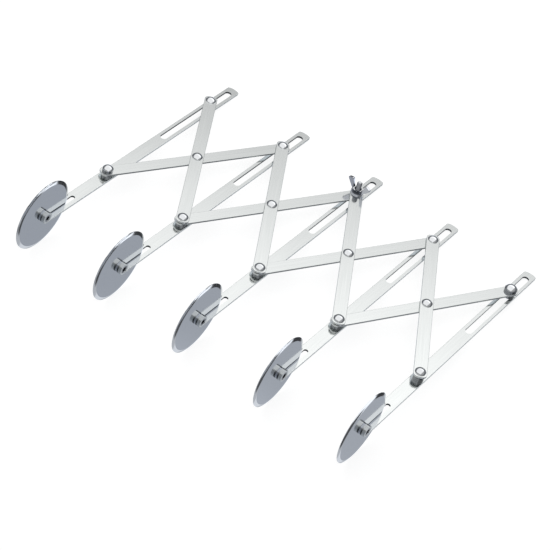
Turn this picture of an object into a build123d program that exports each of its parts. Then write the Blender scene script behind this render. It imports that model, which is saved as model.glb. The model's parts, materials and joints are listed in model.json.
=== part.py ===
from build123d import *
import math
import os

os.makedirs("parts", exist_ok=True)

# Five-wheel expanding pastry cutter. Millimetres, +X along the row of wheels,
# -Y towards the wheels, +Z up. The linkage is drawn flat with the top face of the
# arms at z = 0, then leaned back so that the wheels and the arm tips share one floor.

# ---------------------------------------------------------------- driving sizes
arm_count = 5
pitch_at_rest = 68.6          # wheel to wheel, as the linkage stands at rest
link_reach = 144.0            # first hole to last hole of a link bar

arm_width = 10.0
arm_thickness = 1.5
arm_tip_y = 160.0             # rear tip of an arm, from its front pivot
slot_front_y = 66.0
slot_rear_y = 154.0
slot_width = 5.2

axle_y = -73.4                # wheel centre, from the front pivot
fork_gap = 3.4                # between the two prongs
fork_root_y = -37.2           # bottom of the fork gap
knuckle_bore_radius = 2.9
curl_opening_angle = 35.0     # the rolled end stops this far below level

wheel_diameter = 55.0
wheel_thickness = 1.8
wheel_edge_thickness = 0.24
wheel_bevel = 2.6
wheel_bevel_crown = 0.1         # how far the ground bevel bulges off a straight cone
hub_radius = 4.2
hub_half_length = 1.6
running_clearance = 0.05

axle_length = 9.8
axle_hollow_diameter = 3.4
axle_hollow_depth = 2.8

link_width = 9.6
link_thickness = 1.5
link_end = 5.2                # bar left beyond its end holes
link_corner = 3.4

shank_diameter = 4.0
neck_diameter = 5.0           # the part of a rear bush that rides in the slot
spacer_diameter = 8.0
spacer_height = 2.2
washer_diameter = 8.0
washer_height = 0.4
head_diameter = 8.0
head_height = 2.6
head_rim = 0.35
end_head_diameter = 8.8       # the rivet at the rear right corner is larger
end_head_height = 2.9
end_spacer_diameter = 9.4
tail_diameter = 6.6
tail_height = 1.0
edge_round = 0.25

nut_flange_diameter = 10.0
nut_flange_height = 0.8
nut_base_diameter = 8.6
nut_neck_diameter = 7.6
nut_hub_height = 3.2
nut_mouth_diameter = 5.6      # countersink around the bolt
nut_mouth_depth = 0.8
wing_root_thickness = 1.3
wing_top_thickness = 2.3
wing_reach = 11.0             # outer corner of a wing, from the nut's axis
wing_turn = -8.0              # how the tightened nut stands, from the +X axis
wing_rise = 9.9               # highest point of a wing, above its foot
stud_top = 15.1               # top of the lock bolt above the arm face

# ---------------------------------------------------------------- derived sizes
gap = running_clearance
link_angle = math.degrees(math.acos(pitch_at_rest / link_reach))
span_at_rest = link_reach * math.sin(math.radians(link_angle))

lower_link_bottom = spacer_height + gap
lower_link_top = lower_link_bottom + link_thickness
washer_bottom = lower_link_top + gap
washer_top = washer_bottom + washer_height
upper_link_bottom = washer_top + gap
upper_link_top = upper_link_bottom + link_thickness
head_seat = upper_link_top + gap

axle_z = knuckle_bore_radius
wheel_radius = wheel_diameter / 2
reach_y = arm_tip_y - axle_y
reach_z = axle_z + arm_thickness
reach = math.hypot(reach_y, reach_z)
lean = math.degrees(math.asin(wheel_radius / reach) - math.atan2(reach_z, reach_y))
lean_sin = math.sin(math.radians(lean))
lean_cos = math.cos(math.radians(lean))
floor_z = -axle_y * lean_sin + axle_z * lean_cos - wheel_radius
front_y = axle_y * lean_cos + axle_z * lean_sin - wheel_radius
rear_y = arm_tip_y * lean_cos
middle_y = (front_y + rear_y) / 2
middle_x = pitch_at_rest * (arm_count - 1) / 2


# ---------------------------------------------------------------- helpers
def save(shape, name):
    """Lean a finished piece back onto the floor and write it."""
    centred = Pos(-middle_x, 0, 0) * shape
    leaned = Rot(-lean, 0, 0) * centred
    placed = Pos(0, -middle_y, -floor_z) * leaned
    export_step(placed, "parts/" + name + ".step")


def front_pivot(number):
    return (number - 1) * pitch_at_rest, 0.0


def rear_pivot(number):
    return (number - 1) * pitch_at_rest, span_at_rest


def cross_pivot(number):
    return (number - 0.5) * pitch_at_rest, span_at_rest / 2


def disc(diameter, bottom, top):
    """Upright cylinder between two heights."""
    return Pos(0, 0, (bottom + top) / 2) * Cylinder(diameter / 2, top - bottom)


def ring(diameter, bore, bottom, top):
    """Flat washer or spacer tube between two heights."""
    solid = disc(diameter, bottom, top) - disc(bore, bottom - 1, top + 1)
    top_edges = solid.edges().filter_by(GeomType.CIRCLE).group_by(Axis.Z)[-1]
    outer_edge = top_edges.sort_by(SortBy.RADIUS)[-1]
    return chamfer(outer_edge, 0.12)


def rounded_plate(sketch, thickness):
    """Stamped plate with its outline edges eased."""
    plate = extrude(sketch, amount=thickness)
    rims = plate.faces().sort_by(Axis.Z)
    return fillet(rims[0].edges() + rims[-1].edges(), edge_round)


def dome(seat, diameter, height):
    """Rivet head: low dome on a short rim, seated at a height."""
    rise = height - head_rim
    half = diameter / 2
    ball = (half * half + rise * rise) / (2 * rise)
    cap = Pos(0, 0, seat + height - ball) * Sphere(ball)
    return cap & disc(diameter, seat, seat + height)


def tail(top):
    """Closed end of a rivet: low cone frustum hanging from a height."""
    lower = tail_diameter / 2 - 0.7
    frustum = Cone(lower, tail_diameter / 2, tail_height)
    return Pos(0, 0, top - tail_height / 2) * frustum


# ---------------------------------------------------------------- flat bars
def knuckle(left_x, length):
    """Prong end rolled up into a tube around the axle."""
    outer = knuckle_bore_radius + arm_thickness
    drop = 10.0 * math.tan(math.radians(curl_opening_angle))
    opening = Polygon((0, 0), (0, -10), (10, -10), (10, -drop), align=None)
    profile = Circle(outer) - Circle(knuckle_bore_radius) - opening
    placed = Plane.YZ * Pos(axle_y, axle_z) * profile
    return Pos(left_x, 0, 0) * extrude(placed, amount=length)


def arm():
    """Flat slotted bar, forked and rolled at the wheel end."""
    rear_arc_y = 150.0
    length = rear_arc_y - axle_y
    bar = Pos(0, axle_y + length / 2) * Rectangle(arm_width, length)
    arc_radius = 12.0
    arc = Pos(0, arm_tip_y - arc_radius) * Circle(arc_radius)
    tip = arc & Pos(0, arm_tip_y) * Rectangle(arm_width, 2 * (arm_tip_y - rear_arc_y))
    outline = bar + tip
    corners = outline.vertices().sort_by(Axis.Y)[-2:]
    outline = fillet(corners, 2.0)
    plate = extrude(outline, amount=-arm_thickness)
    rims = plate.faces().filter_by(Axis.Z).edges()
    eased = rims.filter_by(lambda e: e.center().Y > axle_y + 1)
    plate = fillet(eased, edge_round)

    straight = slot_rear_y - slot_front_y - slot_width
    slot_middle = (slot_rear_y + slot_front_y) / 2
    slot = SlotCenterToCenter(straight, slot_width, rotation=90)
    plate -= Pos(0, slot_middle, -arm_thickness) * extrude(slot, amount=arm_thickness)
    plate -= disc(shank_diameter, -arm_thickness, 0)

    arch_y = fork_root_y - fork_gap / 2
    notch_length = arch_y - axle_y + 1
    notch = Pos(0, arch_y - notch_length / 2) * Rectangle(fork_gap, notch_length)
    notch += Pos(0, arch_y) * Circle(fork_gap / 2)
    plate -= Pos(0, 0, -arm_thickness) * extrude(notch, amount=arm_thickness)

    prong = (arm_width - fork_gap) / 2
    plate += knuckle(fork_gap / 2, prong)
    plate += knuckle(-arm_width / 2, prong)
    return plate


def link(bottom, hole_diameters):
    """Plain link bar with three holes, drawn up the Y axis."""
    length = link_reach + 2 * link_end
    outline = RectangleRounded(link_width, length, link_corner)
    bar = Pos(0, link_reach / 2) * rounded_plate(outline, link_thickness)
    for step, diameter in enumerate(hole_diameters):
        hole = disc(diameter, -1, link_thickness + 1)
        bar -= Pos(0, step * link_reach / 2) * hole
    return Pos(0, 0, bottom) * bar


# ---------------------------------------------------------------- turning pieces
def wheel():
    """Thin cutting disc with a bevelled rim and a small hub, axis along X."""
    bore = knuckle_bore_radius + running_clearance
    half = wheel_thickness / 2
    edge = wheel_edge_thickness / 2
    shoulder = wheel_radius - wheel_bevel
    run, drop = wheel_bevel, half - edge
    chord = math.hypot(run, drop)
    out_x, out_y = run / chord * wheel_bevel_crown, drop / chord * wheel_bevel_crown
    crown = ((half + edge) / 2 + out_x, (shoulder + wheel_radius) / 2 + out_y)
    corners = [(edge, wheel_radius), (-edge, wheel_radius)]
    hub = [(-half, shoulder), (-half, hub_radius), (-hub_half_length, hub_radius)]
    hub += [(-hub_half_length, bore), (hub_half_length, bore)]
    hub += [(hub_half_length, hub_radius), (half, hub_radius), (half, shoulder)]
    outline = [
        ThreePointArc((half, shoulder), crown, corners[0]),
        Line(*corners),
        ThreePointArc(corners[1], (-crown[0], crown[1]), hub[0]),
        Polyline(*hub),
    ]
    profile = make_face(Curve() + outline)
    return revolve(profile, axis=Axis.X, revolution_arc=360)


def axle():
    """Pin through both knuckles, drilled hollow at each end."""
    pin = Rot(0, 90, 0) * Cylinder(knuckle_bore_radius, axle_length)
    hollow = Rot(0, 90, 0) * Cylinder(axle_hollow_diameter / 2, axle_hollow_depth)
    shift = (axle_length - axle_hollow_depth) / 2
    pin -= Pos(shift, 0, 0) * hollow
    pin -= Pos(-shift, 0, 0) * hollow
    return pin


def rivet(seat, tail_top, diameter=head_diameter, height=head_height):
    """Domed rivet: head seated at one height, closed end below another."""
    shank = disc(shank_diameter, tail_top - 0.2, seat + 0.2)
    return dome(seat, diameter, height) + shank + tail(tail_top)


def rear_bush(collar_bottom, collar_top, neck_bottom):
    """Collar above the arm with a neck that slides in the slot."""
    collar = ring(spacer_diameter, shank_diameter, collar_bottom, collar_top)
    neck = disc(neck_diameter, neck_bottom, collar_bottom)
    neck -= disc(shank_diameter, neck_bottom - 1, collar_bottom + 1)
    return collar + neck


def lock_bolt(head_top):
    """Bolt up through the rear joint, with a pan head under the arm."""
    head = disc(9.0, head_top - 1.3, head_top)
    head = fillet(head.edges().filter_by(GeomType.CIRCLE).group_by(Axis.Z)[0], 0.6)
    shank = disc(shank_diameter, head_top - 0.2, stud_top)
    rounded = shank.edges().filter_by(GeomType.CIRCLE).group_by(Axis.Z)[-1]
    shank = fillet(rounded, 0.9)
    return head + shank


def wing():
    """One upright wing fanning out along +X, seated on z = 0."""
    reach, rise = wing_reach, wing_rise
    outer_side = [(3.0, 0.6), (4.7, 0.7), (6.7, 2.9), (reach, rise - 1.7)]
    inner_side = [(6.1, rise), (4.3, 4.9), (3.0, 2.8)]
    outline = Polygon(*(outer_side + inner_side), align=None)
    tips = outline.vertices().sort_by(Axis.Y)[-2:]
    outline = fillet(tips, 1.0)
    blade = extrude(Plane.XZ * outline, amount=wing_top_thickness, both=True)
    root, top = wing_root_thickness / 2, wing_top_thickness / 2
    wedge = Polygon((-root, 0.5), (root, 0.5), (top, rise), (-top, rise), align=None)
    blade &= extrude(Plane.YZ * wedge, amount=reach + 1)
    flats = blade.faces().sort_by(SortBy.AREA)[-2:]
    return fillet(flats.edges(), 0.3)


def wing_nut():
    """Wing nut with a flanged foot and a tapered hub."""
    seat = head_seat
    flange = disc(nut_flange_diameter, 0, nut_flange_height)
    taper = Cone(nut_base_diameter / 2, nut_neck_diameter / 2, nut_hub_height)
    hub = Pos(0, 0, nut_hub_height / 2) * taper
    nut = flange + hub + wing() + Rot(0, 0, 180) * wing()
    bore = shank_diameter + 2 * running_clearance
    nut -= disc(bore, -1, nut_hub_height + 8)
    mouth = Cone(bore / 2, nut_mouth_diameter / 2, nut_mouth_depth)
    nut -= Pos(0, 0, nut_hub_height - nut_mouth_depth / 2) * mouth
    return Pos(0, 0, seat) * Rot(0, 0, wing_turn) * nut


# ---------------------------------------------------------------- write the pieces
loose = shank_diameter + 2 * running_clearance
tight = shank_diameter
under_arm = -arm_thickness - gap

for number in range(1, arm_count + 1):
    x, y = front_pivot(number)
    save(Pos(x, 0) * arm(), "arm_%d" % number)
    save(Pos(x, axle_y, axle_z) * wheel(), "wheel_%d" % number)
    save(Pos(x, axle_y, axle_z) * axle(), "axle_%d" % number)
    save(Pos(x, y) * rivet(head_seat, -arm_thickness), "front_rivet_%d" % number)
    top = washer_top if number == arm_count else spacer_height
    spacer = ring(spacer_diameter, tight, 0, top)
    save(Pos(x, y) * spacer, "front_spacer_%d" % number)
    if 1 < number < arm_count:
        washer = ring(washer_diameter, tight, washer_bottom, washer_top)
        save(Pos(x, y) * washer, "front_washer_%d" % number)

for number in range(1, arm_count):
    # A lower link runs from its own arm's front pivot back to the next arm's slot.
    x, y = front_pivot(number)
    middle_hole = tight
    rear_hole = tight if number == arm_count - 1 else loose
    bar = link(lower_link_bottom, (loose, middle_hole, rear_hole))
    save(Pos(x, y) * Rot(0, 0, link_angle - 90) * bar, "lower_link_%d" % number)

    # An upper link runs from the next arm's front pivot back to this arm's slot.
    x, y = front_pivot(number + 1)
    bar = link(upper_link_bottom, (loose, loose, tight))
    save(Pos(x, y) * Rot(0, 0, 90 - link_angle) * bar, "upper_link_%d" % number)

    x, y = cross_pivot(number)
    save(Pos(x, y) * rivet(head_seat, lower_link_bottom), "cross_rivet_%d" % number)
    washer = ring(washer_diameter, tight, lower_link_top, washer_top)
    save(Pos(x, y) * washer, "cross_washer_%d" % number)

for number in range(1, arm_count + 1):
    x, y = rear_pivot(number)
    collar_top = spacer_height
    if number == 1:
        collar_top = upper_link_bottom
    if number == arm_count:
        collar_top = lower_link_bottom
    # The lock joint's neck is shorter than the arm is thick, so the bolt can clamp.
    neck_bottom = under_arm + 0.35 if number == 3 else under_arm
    bush = rear_bush(gap, collar_top, neck_bottom)
    save(Pos(x, y) * bush, "rear_bush_%d" % number)
    if 1 < number < arm_count:
        washer = ring(washer_diameter, tight, washer_bottom, upper_link_bottom)
        save(Pos(x, y) * washer, "rear_washer_%d" % number)
    if number == 3:
        save(Pos(x, y) * lock_bolt(under_arm), "lock_bolt")
        save(Pos(x, y) * wing_nut(), "wing_nut")
    elif number == arm_count:
        end_rivet = rivet(head_seat, under_arm, end_head_diameter, end_head_height)
        save(Pos(x, y) * end_rivet, "rear_rivet_%d" % number)
    else:
        save(Pos(x, y) * rivet(upper_link_top, under_arm), "rear_rivet_%d" % number)

x, y = front_pivot(1)
spacer = ring(spacer_diameter, tight, washer_bottom, head_seat)
save(Pos(x, y) * spacer, "front_top_spacer")
x, y = rear_pivot(arm_count)
spacer = ring(end_spacer_diameter, tight, lower_link_top, head_seat)
save(Pos(x, y) * spacer, "rear_top_spacer")

print("lean", round(lean, 4), "floor", round(floor_z, 4), "middle y", round(middle_y, 4))
print("link angle", round(link_angle, 4), "span", round(span_at_rest, 4))
print("head seat", round(head_seat, 4))
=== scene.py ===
"""Expanding pastry cutter: finishes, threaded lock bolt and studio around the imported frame."""

import json
import math

import bmesh
import bpy
from bpy.props import FloatProperty, FloatVectorProperty, PointerProperty
from mathutils import Matrix, Quaternion, Vector


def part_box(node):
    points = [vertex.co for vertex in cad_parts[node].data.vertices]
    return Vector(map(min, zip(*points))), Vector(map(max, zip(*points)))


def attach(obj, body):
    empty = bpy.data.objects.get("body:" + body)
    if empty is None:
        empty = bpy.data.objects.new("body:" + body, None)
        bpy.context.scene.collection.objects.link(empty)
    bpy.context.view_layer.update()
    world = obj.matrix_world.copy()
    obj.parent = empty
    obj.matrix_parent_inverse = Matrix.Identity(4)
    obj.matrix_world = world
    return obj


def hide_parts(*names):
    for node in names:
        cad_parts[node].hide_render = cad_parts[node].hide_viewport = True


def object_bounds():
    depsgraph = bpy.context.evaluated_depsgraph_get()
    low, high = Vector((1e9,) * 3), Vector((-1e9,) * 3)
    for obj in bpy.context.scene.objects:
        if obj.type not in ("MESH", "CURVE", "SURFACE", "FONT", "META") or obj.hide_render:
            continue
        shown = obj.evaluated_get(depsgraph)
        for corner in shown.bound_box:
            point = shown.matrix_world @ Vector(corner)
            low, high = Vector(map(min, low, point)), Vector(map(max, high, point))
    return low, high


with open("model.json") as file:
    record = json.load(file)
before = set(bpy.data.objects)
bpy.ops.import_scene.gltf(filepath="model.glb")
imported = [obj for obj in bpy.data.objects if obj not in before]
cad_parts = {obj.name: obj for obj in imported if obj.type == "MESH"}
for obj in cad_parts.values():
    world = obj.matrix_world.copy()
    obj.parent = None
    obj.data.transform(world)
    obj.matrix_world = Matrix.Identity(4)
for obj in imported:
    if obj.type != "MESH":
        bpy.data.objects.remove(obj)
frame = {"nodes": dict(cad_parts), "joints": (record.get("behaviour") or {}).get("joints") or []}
cad_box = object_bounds()

bl_info = {
    "name": "Expanding Pastry Cutter",
    "version": (1, 0, 0),
    "blender": (4, 5, 0),
    "location": "3D View > Sidebar > Pastry Cutter",
    "description": "Dresses a five-wheel expanding pastry cutter and sets up its studio",
    "category": "Object",
}

MILLIMETRE = 0.001
SMALLEST_SIZE = 0.01 * MILLIMETRE
WHEEL_COUNT = 5
LINK_COUNT = 4
LOCK_NUMBER = 3


# ------------------------------------------------------------------ frame facts
def joint(name):
    """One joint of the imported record, by name."""
    return next(j for j in frame["joints"] if j["name"] == name)


def middle(node):
    """Centre of a node's box."""
    low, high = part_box(node)
    return (low + high) / 2


# The linkage lies in one plane that leans back; its normal is every pivot's axis.
LINKAGE_NORMAL = Vector(joint("arm_2_turn")["axis"]).normalized()
LEAN = math.atan2(LINKAGE_NORMAL.y, LINKAGE_NORMAL.z)
WHEEL_CENTRE = middle("wheel_3")
WHEEL_RADIUS = (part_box("wheel_3")[1].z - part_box("wheel_3")[0].z) / 2
# A link bar's turn away from the arms, from its two end pivots.
LINK_START = Vector(joint("spread")["pos_m"])
LINK_MIDDLE = Vector(joint("cross_3")["pos_m"])
LINK_TURN = math.atan2(
    LINK_MIDDLE.x - LINK_START.x,
    math.hypot(LINK_MIDDLE.y - LINK_START.y, LINK_MIDDLE.z - LINK_START.z),
)
# Arms stand one pitch apart, and the middle one is at x = 0.
PITCH = middle("wheel_4").x - middle("wheel_3").x
# How far along the arms the wheels' axles are, in the linkage's own plane.
KNUCKLE_Y = (Matrix.Rotation(LEAN, 3, "X") @ WHEEL_CENTRE).y
# The wing nut's joint, and how far it is above the arms' upper face.
LOCK_POINT = Vector(joint("wing_nut_turn")["pos_m"])
LOCK_POINT_RISE = 8.0 * MILLIMETRE


# ------------------------------------------------------------------ small helpers
def linear(colour):
    """Turn an sRGB hex colour into the linear values that shader sockets hold."""
    values = [int(colour[start : start + 2], 16) / 255 for start in (1, 3, 5)]
    return tuple(
        v / 12.92 if v <= 0.04045 else ((v + 0.055) / 1.055) ** 2.4 for v in values
    )


def opaque(colour):
    """Add full alpha to a colour property."""
    return (*colour, 1.0)


def add_node(tree, kind, inputs=None, **settings):
    """Add a node, give it its settings, then fill or link its inputs."""
    node = tree.nodes.new(kind)
    for name, value in settings.items():
        setattr(node, name, value)
    for name, value in (inputs or {}).items():
        socket = node.inputs[name]
        if isinstance(value, bpy.types.NodeSocket):
            tree.links.new(value, socket)
        else:
            socket.default_value = value
    return node


def new_material(name):
    """A fresh node material with nothing in its tree but the output."""
    material = bpy.data.materials.new(name)
    material.use_nodes = True
    material.node_tree.nodes.clear()
    return material, material.node_tree


def finish_material(tree, shader):
    """Link the shader to the material's output."""
    add_node(tree, "ShaderNodeOutputMaterial", {"Surface": shader.outputs[0]})


def dress(names, material):
    """Put a material on CAD nodes."""
    for name in names:
        piece = frame["nodes"][name]
        if not piece.material_slots:
            piece.data.materials.append(material)
        for slot in piece.material_slots:
            slot.material = material


def numbered(pattern, count):
    """Node names that run from 1 to count."""
    return [pattern % number for number in range(1, count + 1)]


def colour_property(label, text, colour):
    """A colour that a user may change, given as sRGB hex."""
    return FloatVectorProperty(
        name=label, description=text, subtype="COLOR", size=3, min=0, max=1,
        default=linear(colour),
    )


def size_property(label, text, size):
    """A length that a user may change, given in millimetres."""
    return FloatProperty(
        name=label, description=text, default=size * MILLIMETRE, min=SMALLEST_SIZE,
        subtype="DISTANCE", unit="LENGTH", precision=5,
    )


# ------------------------------------------------------------------ user settings
class CutterColours(bpy.types.PropertyGroup):
    """Colours of the cutter's finishes."""

    strip_light: colour_property(
        "Strip light", "Bright streaks of the satin ground strip", "#e3e5e4"
    )
    strip_dark: colour_property(
        "Strip dark", "Dull streaks of the satin ground strip", "#cfd2d1"
    )
    strip_edge: colour_property(
        "Strip edge", "Sheared edge of the strip", "#dde0df"
    )
    # Painted shade: the walls inside the arms' slots and holes are painted this dark colour.
    slot_shade: colour_property("Slot wall", "Punched walls of slots", "#54585a")
    disc_face: colour_property("Disc face", "Polished face of a wheel", "#c7cbd1")
    disc_bevel: colour_property("Disc bevel", "Ground bevel of a wheel", "#e8e9ea")
    rivet: colour_property("Rivet", "Pressed rivet heads", "#eceef0")
    spacer: colour_property("Spacer", "Turned spacers, bushes and axles", "#96999d")
    plating: colour_property("Plating", "Zinc plated wings of the nut", "#c9cbd2")
    # Painted shade: the hub of the nut near its axis is painted this darker colour.
    plating_hub_shade: colour_property(
        "Plating dull", "Hub of the nut, where oil and flour gather", "#5d6169"
    )
    thread: colour_property("Thread", "Plated thread of the lock bolt", "#94969b")
    # Painted highlight: the flat tops of the bolt and nut, facing up along the axis, are painted
    # this lighter colour.
    plating_top_highlight: colour_property(
        "Plating worn", "Flat tops of the bolt and nut, rubbed bright", "#e6e8ea"
    )
    floor: colour_property("Floor", "Studio table top", "#fbfbfb")
    backdrop: colour_property("Backdrop", "Paper round the studio", "#f6f6f6")


class CutterSizes(bpy.types.PropertyGroup):
    """Sizes of the surface detail and of the lock bolt."""

    grain_width: size_property("Grain width", "Width of a grinding streak", 0.8)
    grain_length: size_property("Grain length", "Length of a grinding streak", 45.0)
    disc_ring: size_property("Disc ring", "Spacing of the disc's turning marks", 0.5)
    disc_bevel: size_property("Disc bevel", "Width of the ground bevel", 2.6)
    thread_pitch: size_property("Thread pitch", "Rise of the bolt's thread a turn", 0.7)
    thread_depth: size_property("Thread depth", "Depth of the bolt's thread", 0.3)
    bolt_diameter: size_property("Bolt diameter", "Outside of the thread", 3.96)
    bolt_top: size_property("Bolt top", "End of the bolt above the arm's face", 15.1)


class CutterStage(bpy.types.PropertyGroup):
    """Camera and floor of the studio."""

    azimuth: FloatProperty(
        name="Azimuth", description="Camera's turn to the right of the wheels",
        default=math.radians(26.362), subtype="ANGLE", unit="ROTATION",
    )
    elevation: FloatProperty(
        name="Elevation", description="Camera's height above the horizon",
        default=math.radians(45.136), subtype="ANGLE", unit="ROTATION",
    )
    roll: FloatProperty(
        name="Roll", description="Camera's tilt about its own axis",
        default=math.radians(13.665), subtype="ANGLE", unit="ROTATION",
    )
    distance: size_property("Distance", "Camera to the middle of the cutter", 1555.36)
    focal_length: FloatProperty(
        name="Focal length", description="Lens on a 36 mm sensor", default=142.616,
        min=10, subtype="DISTANCE_CAMERA", unit="CAMERA",
    )
    floor_width: size_property("Floor width", "Side of the studio table top", 8000.0)


# ------------------------------------------------------------------ materials
# Slots and holes of an arm lie within this distance of its centre line.
PUNCHED_HALF_WIDTH = 2.75 * MILLIMETRE
SHEARED_ROUGHNESS = 0.3
GROOVES_A_METRE = 2400.0
# The hub of the nut is painted darker, as painted shade, to the first radius, and its wings keep
# their own colour from the second.
HUB_SHADE_RADIUS, UNSHADED_RADIUS = 3.9 * MILLIMETRE, 5.0 * MILLIMETRE


def flatness(tree, axis):
    """How squarely a surface faces along an axis, from -1 to 1."""
    facing = add_node(tree, "ShaderNodeTexCoord").outputs["Normal"]
    return add_node(
        tree, "ShaderNodeVectorMath", {0: facing, 1: tuple(axis)},
        operation="DOT_PRODUCT",
    ).outputs["Value"]


def mottled(tree, colour, pattern, darkest, lightest, low=0.0, high=1.0):
    """A colour made darker and lighter by a pattern that runs from low to high."""
    tone = add_node(
        tree, "ShaderNodeMapRange",
        {
            "Value": pattern, "From Min": low, "From Max": high,
            "To Min": darkest, "To Max": lightest,
        },
    )
    return add_node(
        tree, "ShaderNodeVectorMath", {0: colour, "Scale": tone.outputs[0]},
        operation="SCALE",
    ).outputs[0]


def finish_metal(tree, colour, roughness, height, strength, distance):
    """End a bare metal's tree: its fine relief, the metal itself and the output."""
    bump = add_node(
        tree, "ShaderNodeBump",
        {"Height": height, "Strength": strength, "Distance": distance},
    )
    shader = add_node(
        tree, "ShaderNodeBsdfPrincipled",
        {
            "Base Color": colour,
            "Roughness": roughness,
            "Normal": bump.outputs[0],
            "Metallic": 1.0,
        },
    )
    finish_material(tree, shader)


def strip_grain(tree, place, sizes):
    """Grinding streaks along a bar, and slower bands left by the rolling mill."""
    width, length = 1 / sizes.grain_width, 1 / sizes.grain_length
    along = add_node(
        tree, "ShaderNodeMapping", {"Vector": place, "Scale": (width, length, width)}
    )
    grain = add_node(
        tree, "ShaderNodeTexNoise",
        {"Vector": along.outputs[0], "Scale": 1.0, "Detail": 3.0, "Roughness": 0.6},
    )
    # One band about every 6 mm across the strip.
    bands = add_node(
        tree, "ShaderNodeMapping", {"Vector": place, "Scale": (160.0, 8.0, 160.0)}
    )
    rolling = add_node(
        tree, "ShaderNodeTexNoise", {"Vector": bands.outputs[0], "Scale": 1.0}
    )
    return grain.outputs["Fac"], rolling.outputs["Fac"]


def strip_colour(tree, across, grain, face, punched, colours):
    """Streaky faces and plain sheared edges, with painted shade on the walls of slots and holes.
    """
    streaks = add_node(
        tree, "ShaderNodeMix",
        {
            "Factor": grain,
            "A": opaque(colours.strip_dark),
            "B": opaque(colours.strip_light),
        },
        data_type="RGBA",
    )
    edge = opaque(colours.strip_edge)
    if punched:
        # The walls of holes and slots are painted dark, as painted shade inside them.
        aside = add_node(
            tree, "ShaderNodeMath", {0: across, 1: PITCH / 2}, operation="PINGPONG"
        )
        wall = add_node(
            tree, "ShaderNodeMath", {0: aside.outputs[0], 1: PUNCHED_HALF_WIDTH},
            operation="LESS_THAN",
        )
        edge = add_node(
            tree, "ShaderNodeMix",
            {"Factor": wall.outputs[0], "A": edge, "B": opaque(colours.slot_shade)},
            data_type="RGBA",
        ).outputs["Result"]
    return add_node(
        tree, "ShaderNodeMix",
        {"Factor": face, "A": edge, "B": streaks.outputs["Result"]},
        data_type="RGBA",
    ).outputs["Result"]


def strip_roughness(tree, place, along, grain, face):
    """Ground faces with handled patches and scuffed knuckles, and rougher edges."""
    # Handling leaves soft patches about 20 mm across.
    patches = add_node(
        tree, "ShaderNodeTexNoise", {"Vector": place, "Scale": 50.0, "Detail": 2.0}
    )
    polish = add_node(
        tree, "ShaderNodeMapRange",
        {
            "Value": patches.outputs["Fac"],
            "From Min": 0.3, "From Max": 0.7, "To Min": 0.07, "To Max": 0.11,
        },
    )
    grit = add_node(
        tree, "ShaderNodeMath", {0: grain, 1: 0.06, 2: polish.outputs[0]},
        operation="MULTIPLY_ADD",
    )
    # Rolling the prongs' ends round the axle scuffs them.
    rolled = add_node(
        tree, "ShaderNodeMapRange",
        {
            "Value": along,
            "From Min": KNUCKLE_Y + 3 * MILLIMETRE,
            "From Max": KNUCKLE_Y + 6 * MILLIMETRE,
            "To Min": 0.14, "To Max": 0.0,
        },
    )
    scuffed = add_node(
        tree, "ShaderNodeMath", {0: grit.outputs[0], 1: rolled.outputs[0]},
        operation="ADD",
    )
    return add_node(
        tree, "ShaderNodeMix",
        {"Factor": face, "A": SHEARED_ROUGHNESS, "B": scuffed.outputs[0]},
    ).outputs["Result"]


def strip_material(name, turn, punched, colours, sizes):
    """Stainless steel strip, satin ground lengthwise and sheared to width.

    The belt leaves fine streaks along the bar, so highlights draw out across it, while
    the sheared edges stay duller than the faces. The marks of 0.1 mm grit would be too
    fine to show, so the streaks are drawn 0.8 mm wide.
    """
    material, tree = new_material(name)
    # Coordinates are turned so that Y runs along the bar and Z is its normal.
    place = add_node(
        tree, "ShaderNodeMapping",
        {
            "Vector": add_node(tree, "ShaderNodeTexCoord").outputs["Object"],
            "Rotation": (LEAN, 0.0, turn),
        },
    ).outputs["Vector"]
    parts = add_node(tree, "ShaderNodeSeparateXYZ", {"Vector": place}).outputs
    squareness = add_node(
        tree, "ShaderNodeMath", {0: flatness(tree, LINKAGE_NORMAL)},
        operation="ABSOLUTE",
    )
    face = add_node(
        tree, "ShaderNodeMapRange",
        {"Value": squareness.outputs[0], "From Min": 0.35, "From Max": 0.9},
    ).outputs[0]
    grain, rolling = strip_grain(tree, place, sizes)
    height = add_node(
        tree, "ShaderNodeMath", {0: rolling, 1: 1.5, 2: grain},
        operation="MULTIPLY_ADD",
    )
    colour = strip_colour(tree, parts["X"], grain, face, punched, colours)
    roughness = strip_roughness(tree, place, parts["Y"], grain, face)
    finish_metal(tree, colour, roughness, height.outputs[0], 0.25, 2e-5)
    return material


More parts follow.
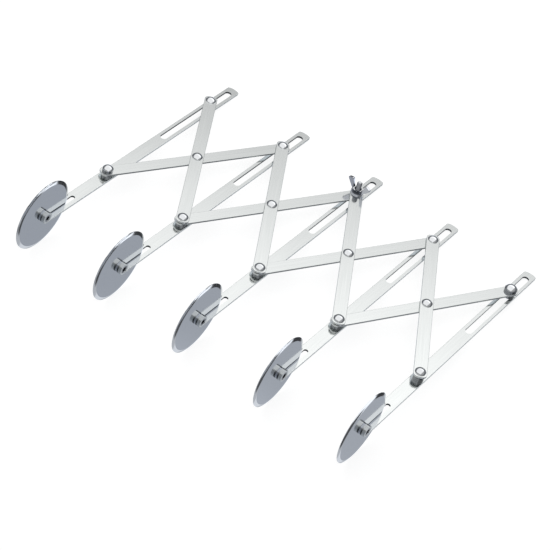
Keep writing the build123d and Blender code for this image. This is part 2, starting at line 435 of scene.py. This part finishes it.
def disc_material(colours, sizes):
    """Stainless steel disc, cold rolled, then lapped on a turntable.

    It is a dark mirror with faint rings about its centre, and a ground bevel that
    catches the light.
    """
    material, tree = new_material("stainless_disc_lapped")
    place = add_node(tree, "ShaderNodeTexCoord").outputs["Object"]
    from_centre = add_node(
        tree, "ShaderNodeVectorMath", {0: place, 1: tuple(WHEEL_CENTRE)},
        operation="SUBTRACT",
    )
    in_disc = add_node(
        tree, "ShaderNodeVectorMath", {0: from_centre.outputs[0], 1: (0.0, 1.0, 1.0)},
        operation="MULTIPLY",
    )
    radius = add_node(
        tree, "ShaderNodeVectorMath", {0: in_disc.outputs[0]}, operation="LENGTH"
    ).outputs["Value"]
    count = add_node(
        tree, "ShaderNodeMath", {0: radius, 1: 1 / sizes.disc_ring},
        operation="MULTIPLY",
    )
    rings = add_node(
        tree, "ShaderNodeTexNoise",
        {"W": count.outputs[0], "Scale": 1.0, "Detail": 2.0}, noise_dimensions="1D",
    ).outputs["Fac"]
    smears = add_node(
        tree, "ShaderNodeTexNoise", {"Vector": place, "Scale": 120.0, "Detail": 3.0}
    )
    shoulder = WHEEL_RADIUS - sizes.disc_bevel
    bevel = add_node(
        tree, "ShaderNodeMapRange",
        {
            "Value": radius,
            "From Min": shoulder, "From Max": shoulder + 0.1 * MILLIMETRE,
        },
    ).outputs[0]
    shade = add_node(
        tree, "ShaderNodeMix",
        {
            "Factor": bevel,
            "A": opaque(colours.disc_face),
            "B": opaque(colours.disc_bevel),
        },
        data_type="RGBA",
    )
    colour = mottled(tree, shade.outputs["Result"], rings, 0.88, 1.06)
    lap = add_node(
        tree, "ShaderNodeMapRange",
        {"Value": smears.outputs["Fac"], "To Min": 0.04, "To Max": 0.12},
    )
    # The grindstone leaves the bevel a little rougher than the lapped face.
    grind = add_node(
        tree, "ShaderNodeMath", {0: bevel, 1: 0.02, 2: lap.outputs[0]},
        operation="MULTIPLY_ADD",
    )
    finish_metal(tree, colour, grind.outputs[0], rings, 0.15, 1e-5)
    return material


def rivet_material(colours):
    """Steel rivet, headed in a polished die.

    It is a bright dome with soft flats about 1.5 mm across, where the metal didn't
    quite fill the die.
    """
    material, tree = new_material("steel_rivet_die_polished")
    place = add_node(tree, "ShaderNodeTexCoord").outputs["Object"]
    flats = add_node(
        tree, "ShaderNodeTexNoise", {"Vector": place, "Scale": 650.0, "Detail": 1.0}
    )
    smears = add_node(
        tree, "ShaderNodeTexNoise", {"Vector": place, "Scale": 900.0, "Detail": 4.0}
    )
    polish = add_node(
        tree, "ShaderNodeMapRange",
        {"Value": smears.outputs["Fac"], "To Min": 0.05, "To Max": 0.11},
    )
    colour = mottled(tree, tuple(colours.rivet), smears.outputs["Fac"], 0.86, 1.04)
    finish_metal(tree, colour, polish.outputs[0], flats.outputs["Fac"], 0.3, 6e-5)
    return material


def turned_material(name, axis, colours):
    """Free-cutting steel, turned on a lathe about an axis.

    Fine grooves run round each piece, so its sides show thin light and dark lines.
    They are drawn about 0.4 mm apart, coarser than real ones, to be seen.
    """
    material, tree = new_material(name)
    place = add_node(tree, "ShaderNodeTexCoord").outputs["Object"]
    along = add_node(
        tree, "ShaderNodeVectorMath", {0: place, 1: tuple(axis)},
        operation="DOT_PRODUCT",
    )
    grooves = add_node(
        tree, "ShaderNodeMath", {0: along.outputs["Value"], 1: GROOVES_A_METRE},
        operation="MULTIPLY",
    )
    lines = add_node(
        tree, "ShaderNodeTexNoise",
        {"W": grooves.outputs[0], "Scale": 1.0, "Detail": 1.0}, noise_dimensions="1D",
    ).outputs["Fac"]
    polish = add_node(
        tree, "ShaderNodeMapRange", {"Value": lines, "To Min": 0.06, "To Max": 0.14}
    )
    colour = mottled(tree, tuple(colours.spacer), lines, 0.4, 1.15, low=0.3, high=0.7)
    finish_metal(tree, colour, polish.outputs[0], lines, 0.3, 2e-5)
    return material


def plated_material(name, colours, inner, axis, foot):
    """Steel, zinc plated in a barrel.

    The plating is a bluish grey with faint clouds and rounds off fine corners. Its flat tops are
    painted lighter, as a painted highlight, and near the axis it takes the inner colour, which
    on the nut is painted shade on the hub.
    """
    material, tree = new_material(name)
    place = add_node(tree, "ShaderNodeTexCoord").outputs["Object"]
    clouds = add_node(
        tree, "ShaderNodeTexNoise", {"Vector": place, "Scale": 420.0, "Detail": 4.0}
    ).outputs["Fac"]
    grain = add_node(
        tree, "ShaderNodeTexNoise", {"Vector": place, "Scale": 2600.0, "Detail": 2.0}
    )
    # Painted highlight: faces that look up along the axis, the flat tops, are painted lighter.
    top_highlight = add_node(
        tree, "ShaderNodeMapRange",
        {"Value": flatness(tree, axis), "From Min": 0.9, "From Max": 0.99},
    )
    from_foot = add_node(
        tree, "ShaderNodeVectorMath", {0: place, 1: tuple(foot)}, operation="SUBTRACT"
    )
    aside = add_node(
        tree, "ShaderNodeVectorMath", {0: from_foot.outputs[0], 1: tuple(axis)},
        operation="CROSS_PRODUCT",
    )
    radius = add_node(
        tree, "ShaderNodeVectorMath", {0: aside.outputs[0]}, operation="LENGTH"
    )
    # Painted shade: near the axis, the nut's hub takes the darker inner colour.
    unshaded = add_node(
        tree, "ShaderNodeMapRange",
        {
            "Value": radius.outputs["Value"],
            "From Min": HUB_SHADE_RADIUS, "From Max": UNSHADED_RADIUS,
        },
    )
    side = add_node(
        tree, "ShaderNodeMix",
        {
            "Factor": unshaded.outputs[0],
            "A": opaque(inner),
            "B": opaque(colours.plating),
        },
        data_type="RGBA",
    )
    shade = add_node(
        tree, "ShaderNodeMix",
        {
            "Factor": top_highlight.outputs[0],
            "A": side.outputs["Result"],
            "B": opaque(colours.plating_top_highlight),
        },
        data_type="RGBA",
    )
    colour = mottled(tree, shade.outputs["Result"], clouds, 0.8, 1.05)
    polish = add_node(
        tree, "ShaderNodeMapRange", {"Value": clouds, "To Min": 0.04, "To Max": 0.12}
    )
    finish_metal(tree, colour, polish.outputs[0], grain.outputs["Fac"], 0.3, 2e-5)
    return material


class CUTTER_OT_bars(bpy.types.Operator):
    """Dress the slotted arms and the scissor links in satin ground strip"""

    bl_idname = "cutter.bars"
    bl_label = "Arms and links"

    def execute(self, context):
        colours, sizes = context.scene.cutter_colours, context.scene.cutter_sizes
        bars = (
            ("arm", 0.0, WHEEL_COUNT),
            ("lower_link", LINK_TURN, LINK_COUNT),
            ("upper_link", -LINK_TURN, LINK_COUNT),
        )
        for kind, turn, count in bars:
            name = "stainless_strip_satin_ground_" + kind
            material = strip_material(name, turn, kind == "arm", colours, sizes)
            dress(numbered(kind + "_%d", count), material)
        return {"FINISHED"}


class CUTTER_OT_wheels(bpy.types.Operator):
    """Dress the cutting discs"""

    bl_idname = "cutter.wheels"
    bl_label = "Wheels"

    def execute(self, context):
        scene = context.scene
        material = disc_material(scene.cutter_colours, scene.cutter_sizes)
        dress(numbered("wheel_%d", WHEEL_COUNT), material)
        return {"FINISHED"}


class CUTTER_OT_rivets(bpy.types.Operator):
    """Dress the domed rivets"""

    bl_idname = "cutter.rivets"
    bl_label = "Rivets"

    def execute(self, context):
        names = [name for name in frame["nodes"] if "rivet" in name]
        dress(sorted(names), rivet_material(context.scene.cutter_colours))
        return {"FINISHED"}


class CUTTER_OT_spacers(bpy.types.Operator):
    """Dress the spacers, slot bushes, washers and axles"""

    bl_idname = "cutter.spacers"
    bl_label = "Spacers, bushes, washers and axles"

    def execute(self, context):
        colours = context.scene.cutter_colours
        kinds = ("spacer", "washer", "bush")
        names = [name for name in frame["nodes"] if any(k in name for k in kinds)]
        material = turned_material("turned_steel_upright", LINKAGE_NORMAL, colours)
        dress(sorted(names), material)
        material = turned_material("turned_steel_axle", (1.0, 0.0, 0.0), colours)
        dress(numbered("axle_%d", WHEEL_COUNT), material)
        return {"FINISHED"}


class CUTTER_OT_lock(bpy.types.Operator):
    """Dress the wing nut and build the threaded lock bolt"""

    bl_idname = "cutter.lock"
    bl_label = "Wing nut and lock bolt"

    def execute(self, context):
        colours, sizes = context.scene.cutter_colours, context.scene.cutter_sizes
        plating = plated_material(
            "steel_zinc_plated_nut", colours, colours.plating_hub_shade, LINKAGE_NORMAL,
            LOCK_POINT,
        )
        dress(["wing_nut"], plating)
        # The bolt is drawn upright and then leaned, so its own axis is Z.
        plating = plated_material(
            "steel_zinc_plated_bolt", colours, colours.thread, (0.0, 0.0, 1.0),
            (0.0, 0.0, 0.0),
        )
        bolt = build_bolt(sizes, plating)
        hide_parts("lock_bolt")
        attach(bolt, "upper_link_%d" % LOCK_NUMBER)
        return {"FINISHED"}


# ------------------------------------------------------------------ meshes
def add_ring(builder, segments, radius_at, height):
    """One level ring of points, its radius given for each angle."""
    ring = []
    for index in range(segments):
        angle = math.tau * index / segments
        radius = radius_at(angle)
        spot = (radius * math.cos(angle), radius * math.sin(angle), height)
        ring.append(builder.verts.new(spot))
    return ring


def join_rings(builder, rings):
    """Faces between each ring and the next. They face out where the rings go up."""
    for lower, upper in zip(rings, rings[1:]):
        for index in range(len(lower)):
            after = (index + 1) % len(lower)
            builder.faces.new((lower[index], lower[after], upper[after], upper[index]))


def smooth_object(builder, name, material):
    """Turn a finished mesh into a smooth-shaded object of the scene."""
    mesh = bpy.data.meshes.new(name)
    builder.to_mesh(mesh)
    builder.free()
    for polygon in mesh.polygons:
        polygon.use_smooth = True
    mesh.materials.append(material)
    piece = bpy.data.objects.new(name, mesh)
    bpy.context.scene.collection.objects.link(piece)
    return piece


def bolt_outline():
    """Radius and height of the bolt's rings below its thread, from the head's foot."""
    head_top, head_height, head_radius, head_round = -1.55, 1.3, 4.5, 0.6
    shank_radius, shank_top = 2.0, 3.8
    steps = 6
    outline = []
    for step in range(steps + 1):
        angle = math.pi / 2 * step / steps
        radius = head_radius - head_round * (1 - math.sin(angle))
        height = head_top - head_height + head_round * (1 - math.cos(angle))
        outline.append((radius, height))
    outline.append((head_radius, head_top))
    outline.append((shank_radius, head_top))
    outline.append((shank_radius, shank_top))
    return [(radius * MILLIMETRE, height * MILLIMETRE) for radius, height in outline]


def build_bolt(sizes, material):
    """Pan-headed bolt with a true helical thread, drawn along Z, then put in place."""
    segments, rows_a_turn = 48, 12
    thread_start, end_chamfer = 4.0 * MILLIMETRE, 0.6 * MILLIMETRE
    crest = sizes.bolt_diameter / 2
    root = crest - sizes.thread_depth
    builder = bmesh.new()
    rings = [
        add_ring(builder, segments, lambda angle, r=radius: r, height)
        for radius, height in bolt_outline()
    ]
    length = sizes.bolt_top - thread_start
    steps = int(length / sizes.thread_pitch * rows_a_turn)
    for step in range(steps + 1):
        height = thread_start + length * step / steps
        chamfer = crest - end_chamfer + (sizes.bolt_top - height)

        def threaded(angle, height=height, chamfer=chamfer):
            """Radius of the V thread, less the chamfer at the bolt's end."""
            phase = (height / sizes.thread_pitch - angle / math.tau) % 1.0
            ridge = min(1.0, 1.25 * (1 - abs(2 * phase - 1)))
            return min(root + (crest - root) * ridge, chamfer)

        rings.append(add_ring(builder, segments, threaded, height))
    builder.faces.new(list(reversed(rings[0])))
    builder.faces.new(rings[-1])
    join_rings(builder, rings)
    bolt = smooth_object(builder, "threaded_lock_bolt", material)
    bolt.data.set_sharp_from_angle(angle=math.radians(40))
    foot = LOCK_POINT - LINKAGE_NORMAL * LOCK_POINT_RISE
    bolt.matrix_world = Matrix.Translation(foot) @ Matrix.Rotation(-LEAN, 4, "X")
    return bolt


# ------------------------------------------------------------------ studio
# What the bright metal mirrors of the room: a mid grey table, dark walls, a paler
# ceiling, and patches given by direction, cosines of their outer and inner edges, and
# brightness. The room is a little blue beside the panel's neutral light.
TABLE_LEVEL, WALL_LEVEL, CEILING_LEVEL = 0.54, 0.14, 0.42
ROOM_TINT = (0.94, 0.985, 1.06, 1.0)
WHITE = (1.0, 1.0, 1.0, 1.0)
ROOM_PATCHES = (
    ((0.0, -1.0, -0.05), (0.6, 0.9), 0.35),  # pale front wall
    ((0.74, 0.56, -0.38), (0.955, 0.97), 1.3),  # white card beside the table
    ((0.33, 0.81, -0.48), (0.968, 0.98), 0.05),  # dark gap behind the table
    ((0.74, 0.37, -0.56), (0.970, 0.985), 0.08),  # dark cloth beside the card
    ((0.75, -0.12, -0.65), (0.957, 0.985), 0.08),  # and its near end
    ((0.30, 0.45, -0.84), (0.982, 0.99), 0.8),  # lit table close under the wheels
    ((-0.31, 0.76, -0.57), (0.85, 0.95), 1.0),  # pale end of the table, back left
)
# The diffuser panel over the table, in metres. Its cloth is lit from the front right:
# brightness over the origin and its change a metre along X and Y, then its limits.
PANEL_CENTRE, PANEL_WIDTH, PANEL_DEPTH = Vector((-0.15, 0.3, 0.5)), 1.25, 1.6
PANEL_LEVEL, PANEL_SLOPE_X, PANEL_SLOPE_Y = 1.71, 0.60, -1.204
PANEL_LEAST, PANEL_MOST = 0.05, 1.0
FLOOR_GAP = 0.02 * MILLIMETRE
FLOOR_REFLECTED, FLOOR_GLOW = 0.28, 0.86
CAMERA_AIM = Vector((0.36, -3.65, -3.42)) * MILLIMETRE


def build_floor(colours, stage):
    """Melamine table top, pressed against a fine matt sheet.

    It is pale, with a faint mottle 15 mm across and no shine to speak of. Its own glow
    keeps it almost white, so that shadows on it stay faint.
    """
    material, tree = new_material("melamine_table_matt")
    place = add_node(tree, "ShaderNodeTexCoord").outputs["Object"]
    mottle = add_node(
        tree, "ShaderNodeTexNoise", {"Vector": place, "Scale": 65.0, "Detail": 3.0}
    )
    reflected = tuple(part * FLOOR_REFLECTED for part in colours.floor)
    shader = add_node(
        tree, "ShaderNodeBsdfPrincipled",
        {
            "Base Color": mottled(tree, reflected, mottle.outputs["Fac"], 0.985, 1.0),
            "Roughness": 0.7,
            "Emission Color": opaque(colours.floor),
            "Emission Strength": FLOOR_GLOW,
        },
    )
    finish_material(tree, shader)
    builder = bmesh.new()
    bmesh.ops.create_grid(
        builder, x_segments=4, y_segments=4, size=stage.floor_width / 2
    )
    floor = smooth_object(builder, "studio_floor", material)
    floor.location.z = cad_box[0].z - FLOOR_GAP
    floor.visible_glossy = False


def build_backdrop(colours, stage):
    """Seamless paper that stands in a ring round the table, seen by the camera only."""
    material, tree = new_material("studio_paper_seamless")
    place = add_node(tree, "ShaderNodeTexCoord").outputs["Object"]
    # Long soft waves of hanging paper, half a metre apart.
    waves = add_node(
        tree, "ShaderNodeTexNoise", {"Vector": place, "Scale": 2.0, "Detail": 1.0}
    )
    level = add_node(
        tree, "ShaderNodeMapRange",
        {"Value": waves.outputs["Fac"], "To Min": 0.98, "To Max": 1.0},
    )
    glow = add_node(
        tree, "ShaderNodeEmission",
        {"Color": opaque(colours.backdrop), "Strength": level.outputs[0]},
    )
    finish_material(tree, glow)
    radius, height = stage.floor_width * 0.48, stage.floor_width / 2
    builder = bmesh.new()
    # The rings go down, so that the paper faces in.
    rings = [
        add_ring(builder, 64, lambda angle: radius, height * part)
        for part in (1.0, 0.3, -0.01)
    ]
    join_rings(builder, rings)
    backdrop = smooth_object(builder, "studio_backdrop", material)
    backdrop.visible_glossy = False
    backdrop.visible_diffuse = False
    backdrop.visible_shadow = False
    backdrop.visible_transmission = False


def build_panel():
    """Diffuser panel overhead, an area light that faces straight down."""
    lamp = bpy.data.lights.new("diffuser_panel", "AREA")
    lamp.shape, lamp.size, lamp.size_y = "RECTANGLE", PANEL_WIDTH, PANEL_DEPTH
    lamp.energy = math.pi * PANEL_WIDTH * PANEL_DEPTH
    panel = bpy.data.objects.new("diffuser_panel", lamp)
    bpy.context.scene.collection.objects.link(panel)
    panel.location = PANEL_CENTRE
    panel.visible_camera = False
    lamp.use_nodes = True
    cloth = lamp.node_tree
    cloth.nodes.clear()
    # From 0 to 1 across the cloth each way, from its front left corner.
    across = add_node(cloth, "ShaderNodeNewGeometry").outputs["Parametric"]
    slope = (PANEL_SLOPE_X * PANEL_WIDTH, PANEL_SLOPE_Y * PANEL_DEPTH, 0.0)
    level = add_node(
        cloth, "ShaderNodeVectorMath", {0: across, 1: slope}, operation="DOT_PRODUCT"
    )
    corner = (
        PANEL_LEVEL
        + PANEL_SLOPE_X * (PANEL_CENTRE.x - PANEL_WIDTH / 2)
        + PANEL_SLOPE_Y * (PANEL_CENTRE.y - PANEL_DEPTH / 2)
    )
    # The ceiling behind the cloth shows through it and adds its own light.
    bright = add_node(
        cloth, "ShaderNodeMapRange",
        {
            "Value": level.outputs["Value"],
            "From Min": PANEL_LEAST - corner, "From Max": PANEL_MOST - corner,
            "To Min": PANEL_LEAST, "To Max": PANEL_MOST,
        },
    )
    # The near part of the cloth is double, so it is dimmer straight overhead.
    depths = add_node(cloth, "ShaderNodeSeparateXYZ", {"Vector": across})
    single = add_node(
        cloth, "ShaderNodeMapRange",
        {
            "Value": depths.outputs["Y"], "From Min": 0.5, "From Max": 0.62,
            "To Min": 0.6, "To Max": 1.0,
        },
    )
    dimmed = add_node(
        cloth, "ShaderNodeMath", {0: bright.outputs[0], 1: single.outputs[0]},
        operation="MULTIPLY",
    )
    glow = add_node(
        cloth, "ShaderNodeEmission", {"Color": WHITE, "Strength": dimmed.outputs[0]}
    )
    add_node(cloth, "ShaderNodeOutputLight", {"Surface": glow.outputs[0]})


def build_room(scene):
    """The room round the table, which lights the cutter and is mirrored in it."""
    scene.world = bpy.data.worlds.new("studio_room")
    scene.world.use_nodes = True
    room = scene.world.node_tree
    room.nodes.clear()
    ray = add_node(room, "ShaderNodeTexCoord").outputs["Generated"]
    height = add_node(room, "ShaderNodeSeparateXYZ", {"Vector": ray}).outputs["Z"]
    table = add_node(
        room, "ShaderNodeMapRange",
        {
            "Value": height, "From Min": -0.25, "From Max": -0.12,
            "To Min": TABLE_LEVEL, "To Max": WALL_LEVEL,
        },
    )
    ceiling = add_node(
        room, "ShaderNodeMapRange",
        {"Value": height, "From Min": 0.15, "From Max": 0.65},
        interpolation_type="SMOOTHSTEP",
    )
    level = add_node(
        room, "ShaderNodeMix",
        {"Factor": ceiling.outputs[0], "A": table.outputs[0], "B": CEILING_LEVEL},
    ).outputs["Result"]
    for direction, edges, shade in ROOM_PATCHES:
        near = add_node(
            room, "ShaderNodeVectorMath",
            {0: ray, 1: tuple(Vector(direction).normalized())},
            operation="DOT_PRODUCT",
        )
        patch = add_node(
            room, "ShaderNodeMapRange",
            {
                "Value": near.outputs["Value"],
                "From Min": edges[0], "From Max": edges[1],
            },
            interpolation_type="SMOOTHSTEP",
        )
        level = add_node(
            room, "ShaderNodeMix",
            {"Factor": patch.outputs[0], "A": level, "B": shade},
        ).outputs["Result"]
    tint = add_node(
        room, "ShaderNodeMix",
        {"Factor": ceiling.outputs[0], "A": ROOM_TINT, "B": WHITE}, data_type="RGBA",
    )
    background = add_node(
        room, "ShaderNodeBackground",
        {"Color": tint.outputs["Result"], "Strength": level},
    )
    add_node(room, "ShaderNodeOutputWorld", {"Surface": background.outputs[0]})


def build_camera(scene, stage):
    """Camera on the front right, above the table and a little rolled."""
    lens = bpy.data.cameras.new("studio_camera")
    lens.lens, lens.sensor_width = stage.focal_length, 36.0
    lens.clip_start, lens.clip_end = 0.05, 30.0
    camera = bpy.data.objects.new("studio_camera", lens)
    scene.collection.objects.link(camera)
    azimuth, elevation = stage.azimuth, stage.elevation
    back = Vector((
        math.sin(azimuth) * math.cos(elevation),
        -math.cos(azimuth) * math.cos(elevation),
        math.sin(elevation),
    ))
    camera.location = CAMERA_AIM + back * stage.distance
    camera.rotation_mode = "QUATERNION"
    roll = Quaternion((0, 0, 1), stage.roll)
    camera.rotation_quaternion = (-back).to_track_quat("-Z", "Y") @ roll
    scene.camera = camera


class CUTTER_OT_stage(bpy.types.Operator):
    """Build the floor, the backdrop, the panel, the room and the camera"""

    bl_idname = "cutter.stage"
    bl_label = "Studio"

    def execute(self, context):
        scene = context.scene
        colours, stage = scene.cutter_colours, scene.cutter_stage
        build_floor(colours, stage)
        build_backdrop(colours, stage)
        build_panel()
        build_room(scene)
        build_camera(scene, stage)
        scene.view_settings.view_transform = "Standard"
        scene.view_settings.look = "None"
        return {"FINISHED"}


# ------------------------------------------------------------------ add-on
class CUTTER_PT_panel(bpy.types.Panel):
    """Pastry cutter tools and settings"""

    bl_idname = "CUTTER_PT_panel"
    bl_label = "Pastry Cutter"
    bl_space_type = "VIEW_3D"
    bl_region_type = "UI"
    bl_category = "Pastry Cutter"

    def draw(self, context):
        for operator in OPERATORS:
            self.layout.operator(operator.bl_idname)
        for name, group in SETTINGS.items():
            box = self.layout.box()
            for setting in group.__annotations__:
                box.prop(getattr(context.scene, name), setting)


OPERATORS = (
    CUTTER_OT_bars,
    CUTTER_OT_wheels,
    CUTTER_OT_rivets,
    CUTTER_OT_spacers,
    CUTTER_OT_lock,
    CUTTER_OT_stage,
)
SETTINGS = {
    "cutter_colours": CutterColours,
    "cutter_sizes": CutterSizes,
    "cutter_stage": CutterStage,
}
CLASSES = (*SETTINGS.values(), *OPERATORS, CUTTER_PT_panel)


def register():
    """Add the tools and their settings."""
    for cls in CLASSES:
        bpy.utils.register_class(cls)
    for name, group in SETTINGS.items():
        setattr(bpy.types.Scene, name, PointerProperty(type=group))


def unregister():
    """Take the tools and their settings away."""
    for name in SETTINGS:
        delattr(bpy.types.Scene, name)
    for cls in reversed(CLASSES):
        bpy.utils.unregister_class(cls)


def main():
    """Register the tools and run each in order."""
    register()
    bpy.ops.cutter.bars()
    bpy.ops.cutter.wheels()
    bpy.ops.cutter.rivets()
    bpy.ops.cutter.spacers()
    bpy.ops.cutter.lock()
    bpy.ops.cutter.stage()


if __name__ == "__main__":
    main()
